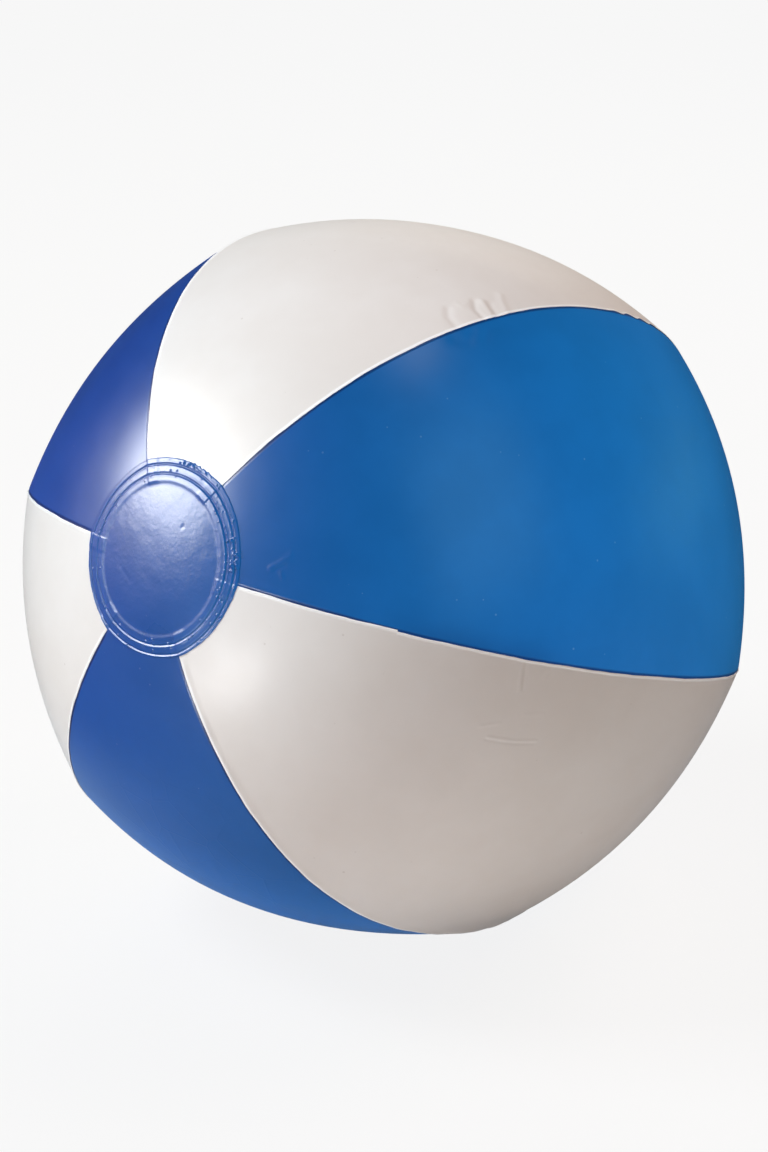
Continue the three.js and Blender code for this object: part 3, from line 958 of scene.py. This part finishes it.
stopperCut = {
    "plug": [(1.7, -0.7), (1.9, -0.7), (2.55, 2.9)],  # radius and height
    "head": [(5.8, 2.9), (5.8, 4.25), (5.55, 4.5), (5.3, 4.5), (4.3, 4.0), (4.0, 4.0)],
    "round": 0.25,
    "tab": {"from": 2.9, "round": 6.9, "half": 2.5, "steps": 33, "low": 3.05, "high": 4.05, "bevel": 0.22},
}


def stopperPiece():
    head = roundCorners(stopperCut["plug"] + stopperCut["head"], stopperCut["round"], False)
    tab = stopperCut["tab"]
    bend = np.linspace(-math.pi / 2, math.pi / 2, tab["steps"])
    outline = [(tab["from"], -tab["half"])]
    outline += [(tab["round"] + tab["half"] * math.cos(a), tab["half"] * math.sin(a)) for a in bend]
    outline += [(tab["from"], tab["half"])]
    shells = [(turned(head), False), (slab(outline, tab["low"], tab["high"], tab["bevel"]), False)]
    piece = valvePiece("valve_stopper_plug", "valve_stopper", shells)
    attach(piece, "stopper")


strapCut = {
    "legs": (2.0, 3.7),  # heights of the one on the stem and the one on the stopper
    "ends": (-5.5, -6.1),
    "bendAt": -7.3,
    "thick": 0.7,
    "wide": 4.0,
    "round": 0.2,
    "steps": (6, 25, 5),  # points of the first leg, the bend and the second leg
    "still": 0.3,  # how far up and down from the legs it moves with its body alone
}


def strapPiece():
    cut = strapCut
    low, high = cut["legs"]
    middle, bendRadius = (low + high) / 2, (high - low) / 2
    at = cut["bendAt"]
    first, curved, second = cut["steps"]
    path = [(x, low) for x in np.linspace(cut["ends"][0], at, first)[:-1]]
    bend = np.linspace(0, math.pi, curved)
    path += [(at - bendRadius * math.sin(a), middle - bendRadius * math.cos(a)) for a in bend]
    path += [(x, high) for x in np.linspace(at, cut["ends"][1], second)[1:]]
    path = np.array(path)
    way = np.gradient(path, axis=0)
    way /= np.linalg.norm(way, axis=1, keepdims=True)
    a, b = cut["wide"] / 2, cut["thick"] / 2
    section = roundCorners([(-a, -b), (a, -b), (a, b), (-a, b)], cut["round"], True)
    rings = []
    for (x, height), (dx, dh) in zip(path, way):
        rings.append([(x - dh * off, across, height + dx * off) for across, off in section])
    piece = valvePiece("stopper_strap_band", "stopper_strap", [(np.array(rings), False)])
    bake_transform(piece)


flapCut = {
    "radius": 3.8,
    "steps": 72,
    "tail": 5.2,
    "half": 1.5,  # width of the tail
    "corner": 0.3,
    "low": -11.3,
    "high": -10.8,
    "bevel": 0.12,
}


def flapPiece():
    cut = flapCut
    reach, half, corner = cut["tail"], cut["half"], cut["corner"]
    meets = math.asin(half / cut["radius"])  # where the tail leaves the disc
    around = np.linspace(meets, fullTurn - meets, cut["steps"])
    outline = [(cut["radius"] * math.cos(a), cut["radius"] * math.sin(a)) for a in around]
    outline += [(reach - corner, -half), (reach, -half + corner)]
    outline += [(reach, half - corner), (reach - corner, half)]
    shell = slab(outline, cut["low"], cut["high"], cut["bevel"])
    piece = valvePiece("check_flap_disc", "check_flap", [(shell, False)])
    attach(piece, "flap")


for build in (basePiece, webPiece, stemPiece, stopperPiece, strapPiece, flapPiece):
    build()
print("valve built")


# stage
studio = {
    "backdrop": 0.93,
    "backdropGloss": 0.05,  # the backdrop as gloss shows it
    "ambient": (0.005, 0.005, 0.005),
    "lamps": {  # from, distance, width, height, power, colour, what it lights
        "key": ((-0.44, -0.51, 0.74), 2.0, 0.8, 0.8, 34.6, (0.905, 1.0, 1.06), "pale"),
        "front": ((0.0, -1.0, 0.14), 2.0, 0.5, 0.5, 7.5, (1.12, 0.95, 0.94), "pale"),
        "top": ((0.25, 0.43, 0.87), 2.0, 0.8, 0.8, 12.6, (1.26, 0.95, 0.84), "pale"),
        "rim": ((-0.5, 0.84, 0.2), 2.0, 0.6, 0.6, 26.0, (1.03, 1.03, 0.94), "pale"),
        "side": ((0.9, 0.3, 0.2), 2.0, 0.7, 0.7, 3.3, (1.08, 0.92, 0.85), "pale"),
        "blueKey": ((0.75, -0.13, 0.64), 2.0, 1.5, 1.5, 34.5, (0.56, 1.10, 0.99), "blue"),
        "blueLeft": ((-0.85, -0.49, 0.22), 2.0, 1.2, 1.0, 21.0, (0.90, 0.56, 1.34), "blue"),
        "blueBack": ((0.34, 0.94, 0.06), 2.0, 1.2, 0.4, 16.5, (0.50, 1.25, 0.58), "blue"),
        "blueRim": ((-0.5, 0.84, 0.3), 2.0, 1.2, 1.0, 22.0, (1.0, 0.9, 1.15), "blue"),
        "softbox": ((-0.68, -0.61, 0.41), 1.6, 0.84, 0.5, 34.2, (1.0, 1.0, 0.96), "gloss"),
        "skylight": ((0.13, 0.02, 0.99), 2.0, 0.5, 0.5, 2.0, (1.0, 1.0, 1.0), "gloss"),
        "window": ((-0.13, -0.985, -0.11), 0.8, 0.2, 0.07, 1.3, (1.0, 1.0, 1.0), "gloss"),
    },
}

floorLook = {
    "half": 12.0,
    "colour": (0.78, 0.76, 0.74, 1),
    "reach": (0.35, 1.2),  # metres out to where the floor has become the backdrop
    "shine": 0.965,
    "shineShare": 0.9,  # how much of the floor near the ball shines by itself for the camera
    "rightward": (0.75, 0.66, 0),
    "glow": (0.17, 0.14, 0.11, 1),  # light that the floor adds to matt surfaces
    "glowFade": (-0.02, 0.22, 1.0, 0.35),  # metres rightward, and its strengths there
    "gloss": (0.16, 0.28, 0.34, 0.05),  # as gloss shows it: metres out, and its strengths there
    "glossFade": (-0.02, -0.16, 0.7, 1.6),  # stronger to the left
    "glossTint": (0.55, 0.78, 1.0, 1),
}


# rays that see the pale backdrop: direct ones, and those in gloss
def seenDirectly(tree):
    path = place(tree, "ShaderNodeLightPath")
    seen = maths(tree, "MAXIMUM", path.outputs["Is Camera Ray"], path.outputs["Is Transmission Ray"])
    return seen, path.outputs["Is Glossy Ray"]


def makeWorld():
    world = bpy.data.worlds.new("studio")
    world.use_nodes = True
    bpy.context.scene.world = world
    tree = world.node_tree
    tree.nodes.clear()
    pale = studio["backdrop"]
    seen, gloss = seenDirectly(tree)
    strength = ramp(tree, gloss, 0.0, 1.0, 1.0, studio["backdropGloss"], False)
    soft = place(tree, "ShaderNodeBackground", {"Color": (*studio["ambient"], 1)})
    plain = place(tree, "ShaderNodeBackground", {"Color": (pale, pale, pale, 1), "Strength": strength})
    share = maths(tree, "MAXIMUM", seen, gloss)
    mix = place(tree, "ShaderNodeMixShader", {0: share, 1: soft.outputs[0], 2: plain.outputs[0]})
    place(tree, "ShaderNodeOutputWorld", {0: mix.outputs[0]})


def makeFloor():
    look, half = floorLook, floorLook["half"]
    mesh = bpy.data.meshes.new("floor")
    corners = [(-half, -half, 0), (half, -half, 0), (half, half, 0), (-half, half, 0)]
    mesh.from_pydata(corners, [], [(0, 1, 2, 3)])
    floor = newObject("floor", mesh)
    material, tree, _ = newMaterial("floor")
    tree.nodes.clear()
    seen, gloss = seenDirectly(tree)
    where = place(tree, "ShaderNodeTexCoord").outputs["Object"]
    across = vectorMaths(tree, "DOT_PRODUCT", where, look["rightward"])
    away = vectorMaths(tree, "LENGTH", where)
    far = ramp(tree, away, *look["reach"])

    # the matt floor, with a glow for the ball's shaded side
    plain = place(tree, "ShaderNodeBsdfDiffuse", {"Color": look["colour"]})
    bounced = place(tree, "ShaderNodeLightPath").outputs["Is Diffuse Ray"]
    bounced = maths(tree, "MULTIPLY", bounced, ramp(tree, across, *look["glowFade"]))
    glow = place(tree, "ShaderNodeEmission", {"Color": look["glow"], "Strength": bounced})
    matt = place(tree, "ShaderNodeAddShader", {0: plain.outputs[0], 1: glow.outputs[0]})

    # the floor as the camera and gloss see it
    inGloss = ramp(tree, away, *look["gloss"])
    inGloss = maths(tree, "MULTIPLY", inGloss, ramp(tree, across, *look["glossFade"]))
    direct = ramp(tree, far, 0.0, 1.0, look["shine"], studio["backdrop"], False)
    strength = place(tree, "ShaderNodeMix", {0: gloss, 2: direct, 3: inGloss}).outputs[0]
    tint = mixColours(tree, gloss, (1, 1, 1, 1), look["glossTint"])
    shine = place(tree, "ShaderNodeEmission", {"Color": tint, "Strength": strength})
    near = ramp(tree, far, 0.0, 1.0, look["shineShare"], 1.0, False)
    share = maths(tree, "MAXIMUM", maths(tree, "MULTIPLY", seen, near), gloss)
    mix = place(tree, "ShaderNodeMixShader", {0: share, 1: matt.outputs[0], 2: shine.outputs[0]})
    place(tree, "ShaderNodeOutputMaterial", {0: mix.outputs[0]})
    mesh.materials.append(material)


def aim(thing, at, towards):
    thing.location = at
    thing.rotation_mode = "QUATERNION"
    thing.rotation_quaternion = towards.to_track_quat("-Z", "Y")


def makeLamp(name, towards, distance, size, power, colour):
    light = bpy.data.lights.new(name, "AREA")
    light.shape = "RECTANGLE"
    light.size, light.size_y = size
    light.energy = power
    light.color = colour
    lamp = newObject(name, light)
    direction = Vector(towards).normalized()
    aim(lamp, Vector(ballCentre) + direction * distance, -direction)
    lamp.visible_camera = False
    return lamp


# blue film lets light through and looks bright on its shaded side, so it has lamps of its own
def litPieces():
    lit = {kind: bpy.data.collections.new(kind + "Lit") for kind in ("pale", "blue")}
    blue = panelPieces[::2] + [frontCap, rearCap]
    for piece in bpy.context.scene.objects:
        if piece.type == "MESH":
            lit["blue" if piece in blue else "pale"].objects.link(piece)
    return lit


def makeLamps():
    lit = litPieces()
    for name, (towards, distance, width, height, power, colour, lights) in studio["lamps"].items():
        lamp = makeLamp(name, towards, distance, (width, height), power, colour)
        lamp.visible_glossy = lights == "gloss"  # these leave a glare and nothing else
        lamp.visible_diffuse = lights != "gloss"
        if lights != "gloss":
            lamp.light_linking.receiver_collection = lit[lights]


view = {
    "azimuth": 41.63,  # degrees to the right of the front
    "elevation": 23.53,
    "distance": 1.43,
    "lens": 125.5,
    "aimRight": -0.6 * mm,  # from the ball's centre
    "aimUp": 0.64 * mm,
}


def makeCamera():
    lens = bpy.data.cameras.new("camera")
    lens.lens = view["lens"]
    camera = newObject("camera", lens)
    a, e = math.radians(view["azimuth"]), math.radians(view["elevation"])
    back = Vector((math.sin(a) * math.cos(e), -math.cos(a) * math.cos(e), math.sin(e)))
    right = Vector((math.cos(a), math.sin(a), 0))
    target = Vector(ballCentre) + right * view["aimRight"] + back.cross(right) * view["aimUp"]
    aim(camera, target + back * view["distance"], -back)
    bpy.context.scene.camera = camera


makeWorld()
makeFloor()
makeLamps()
makeCamera()
bpy.context.scene.view_settings.view_transform = "Standard"
print("stage set")
